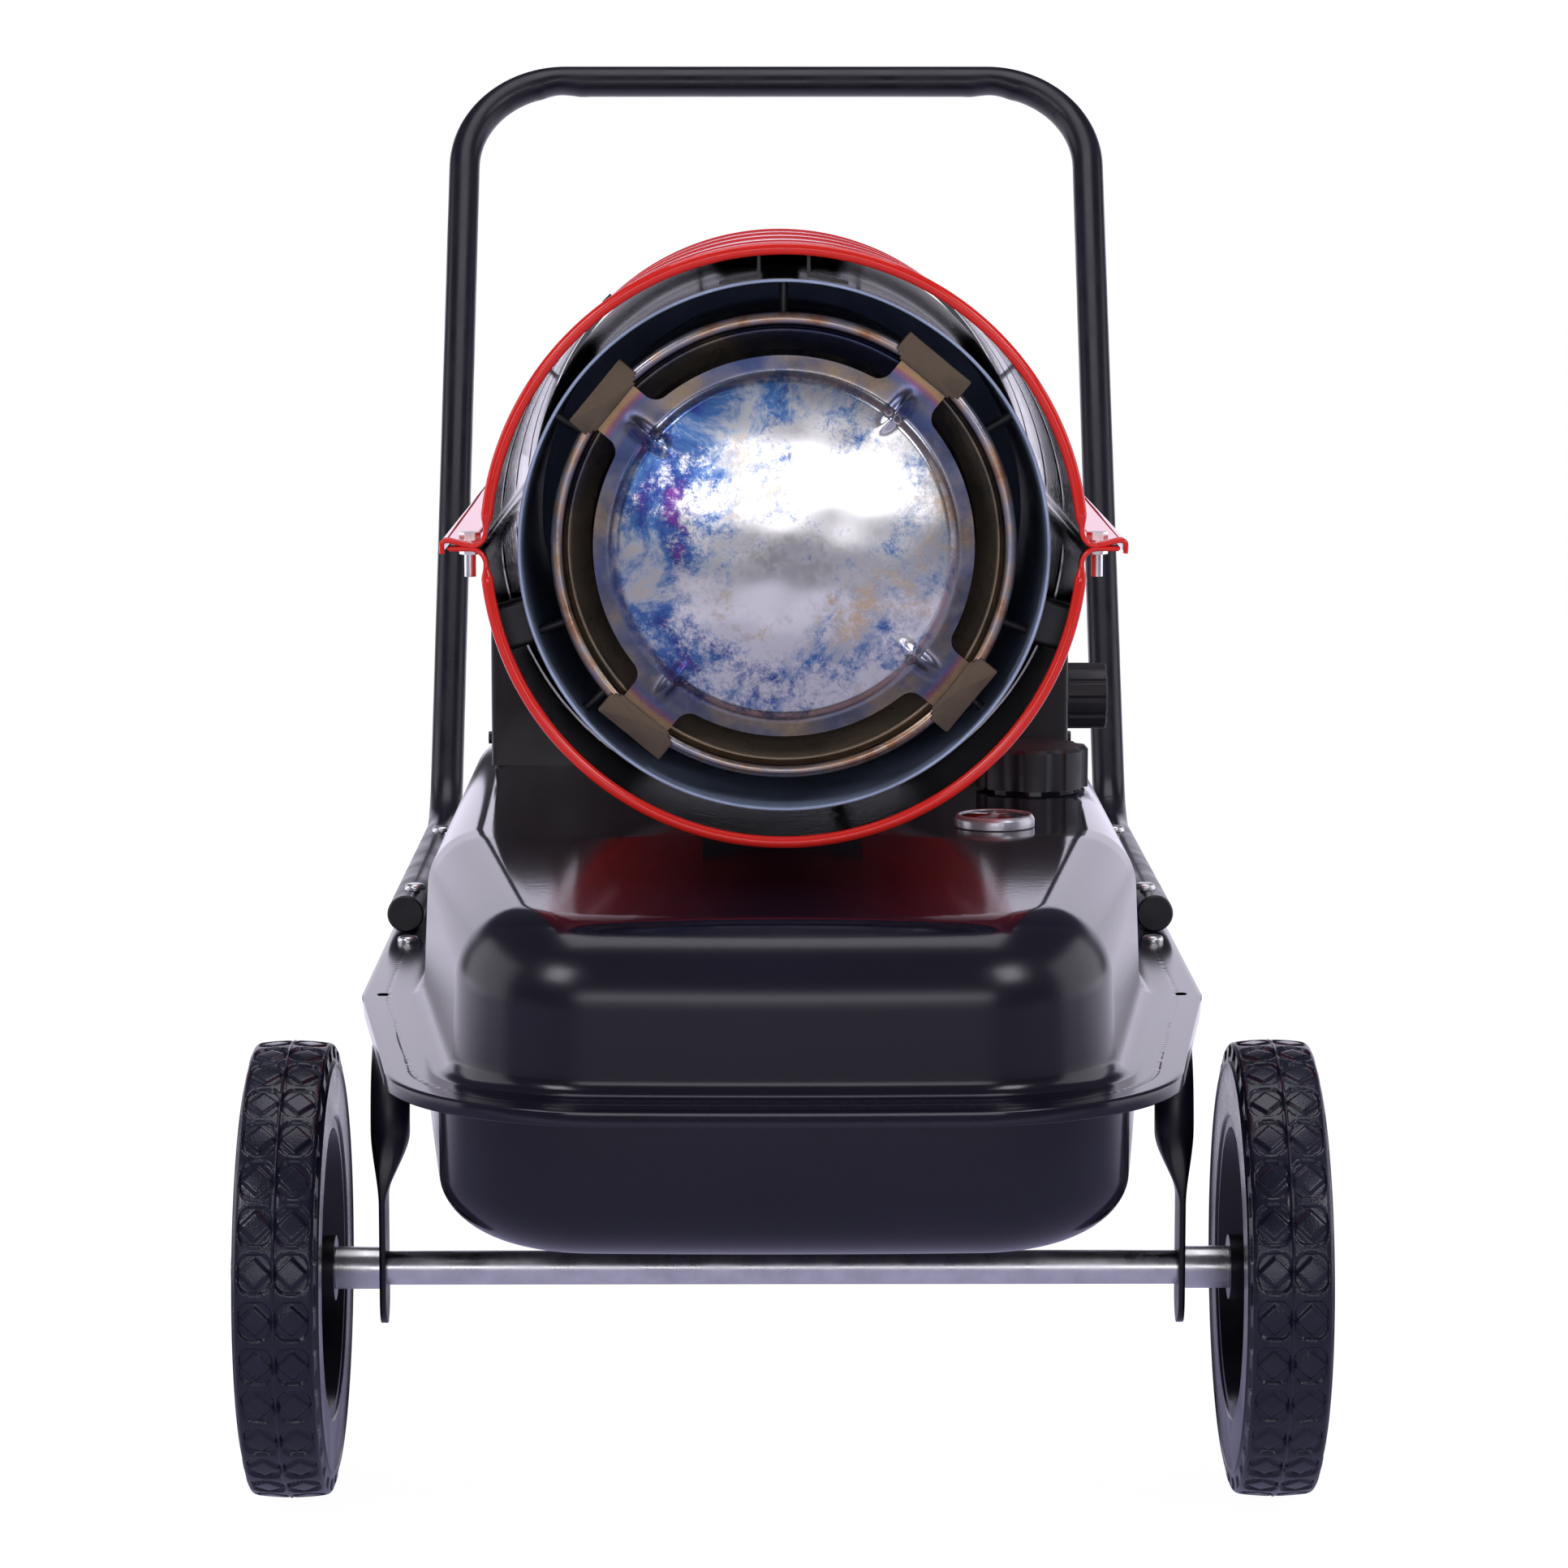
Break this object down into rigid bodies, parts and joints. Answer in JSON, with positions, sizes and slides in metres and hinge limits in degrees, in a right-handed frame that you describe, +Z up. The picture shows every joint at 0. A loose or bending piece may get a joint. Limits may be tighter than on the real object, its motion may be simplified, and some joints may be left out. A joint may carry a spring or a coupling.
{
  "type": "forced air heater",
  "caption": "Wheeled direct-fired heater: round air shell over a stepped fuel tank, flame baffle at its mouth, tubular handle and foot.",
  "frame": {"origin": "on the floor under the middle of the heater, half way along its overall length", "axes": "+Z up, -Y the way the nozzle blows, +X towards the side with the knob, gauge and filler"},
  "size_m": [0.6138, 1.2618, 0.805],
  "materials": {
    "tyre": "matt black solid rubber",
    "rim": "moulded, semi-gloss black",
    "zinc": "bright zinc plate",
    "frame_black": "satin black",
    "tank_black": "gloss black",
    "box_black": "satin black",
    "shell_red": "gloss red outside, black inside",
    "shield_steel": "blue-grey galvanised",
    "chamber_steel": "heat tinted",
    "baffle_steel": "polished, heat tinted",
    "guard_wire": "bright plated wire",
    "fan_alloy": "mill finish",
    "motor_paint": "dark grey",
    "pump_alloy": "cast",
    "carbon": "sintered carbon",
    "brass": "turned",
    "pipe": "drawn tube",
    "black_plastic": "moulded",
    "rocker_black": "moulded",
    "cap_plastic": "ribbed moulding",
    "seal": "nitrile",
    "neck_black": "gloss black",
    "lens": "clear dome",
    "needle_red": "red",
    "float_foam": "closed foam",
    "porcelain": "ceramic",
    "board": "circuit board",
    "transformer": "potted"
  },
  "bodies": {
    "chassis": {"air_filter": "seal", "air_line": "pipe", "axle": "zinc", "axle_spacers": "zinc", "axle_washers": "zinc", "box_base": "box_black", "box_screws": "box_black", "burner_tube": "shield_steel", "chamber_screws": "zinc", "circuit_board": "board", "clamp_screws": "zinc", "combustion_chamber": "chamber_steel", "control_box": "box_black", "cord_gland": "black_plastic", "drain_plug": "brass", "electrodes": "porcelain", "fan_guard": "guard_wire", "filler_neck": "neck_black", "filler_strainer": "black_plastic", "flame_baffle": "baffle_steel", "flame_cone": "shield_steel", "frame_tube": "frame_black", "fuel_line": "pipe", "fuel_nozzle": "brass", "gauge_bezel": "guard_wire", "gauge_body": "black_plastic", "gauge_lens": "lens", "guard_screws": "box_black", "handle_caps": "black_plastic", "handle_tube": "frame_black", "heat_shield": "shield_steel", "ignition_transformer": "transformer", "lower_shell": "shell_red", "motor_body": "motor_paint", "motor_bracket": "shield_steel", "photocell": "black_plastic", "pump_housing": "pump_alloy", "shell_bolts": "zinc", "shell_support": "box_black", "side_brackets": "shield_steel", "split_pins": "zinc", "switch_frame": "black_plastic", "tank_lower": "tank_black", "tank_upper": "tank_black", "thermostat": "black_plastic", "top_bracket": "shield_steel", "upper_shell": "shell_red"},
    "wheel_left": {"tyre_left": "tyre", "rim_left": "rim"},
    "wheel_right": {"tyre_right": "tyre", "rim_right": "rim"},
    "rotor": {"fan": "fan_alloy", "motor_shaft": "zinc", "pump_rotor": "carbon"},
    "knob": {"thermostat_knob": "black_plastic"},
    "cap_disc": {"cap_seal": "seal"},
    "cap": {"fuel_cap": "cap_plastic"},
    "float": {"float_arm": "float_foam"},
    "needle": {"gauge_needle": "needle_red"},
    "rocker": {"rocker_switch": "rocker_black"}
  },
  "joints": [
    {"name": "wheel_left_spin", "type": "hinge", "parent": "chassis", "child": "wheel_left", "pos_m": [-0.272, -0.31794, 0.127], "axis": [1, 0, 0], "continuous": true},
    {"name": "wheel_right_spin", "type": "hinge", "parent": "chassis", "child": "wheel_right", "pos_m": [0.272, -0.31794, 0.127], "axis": [1, 0, 0], "continuous": true},
    {"name": "fan_spin", "type": "hinge", "parent": "chassis", "child": "rotor", "pos_m": [0, 0.08206, 0.544], "axis": [0, 1, 0], "continuous": true},
    {"name": "knob_turn", "type": "hinge", "parent": "chassis", "child": "knob", "pos_m": [0.177, 0.03706, 0.408], "axis": [1, 0, 0], "range_deg": [0, 270]},
    {"name": "cap_lift", "type": "slide", "parent": "chassis", "child": "cap_disc", "axis": [0, 0, 1], "range_m": [0, 0.04]},
    {"name": "cap_turn", "type": "hinge", "parent": "cap_disc", "child": "cap", "pos_m": [0.149, -0.11794, 0.39], "axis": [0, 0, 1], "range_deg": [0, 90]},
    {"name": "float_swing", "type": "hinge", "parent": "chassis", "child": "float", "pos_m": [0.119, -0.27794, 0.342], "axis": [0, 1, 0], "range_deg": [0, 62]},
    {"name": "needle_turn", "type": "hinge", "parent": "chassis", "child": "needle", "pos_m": [0.119, -0.27794, 0.373], "axis": [0, 0, 1], "range_deg": [0, 90]},
    {"name": "rocker_tip", "type": "hinge", "parent": "chassis", "child": "rocker", "pos_m": [0.175, 0.10706, 0.408], "axis": [0, 1, 0], "range_deg": [-16, 0]}
  ],
  "couplings": [
    {"joint": "needle_turn", "follows": "float_swing", "ratio": 1.4}
  ]
}
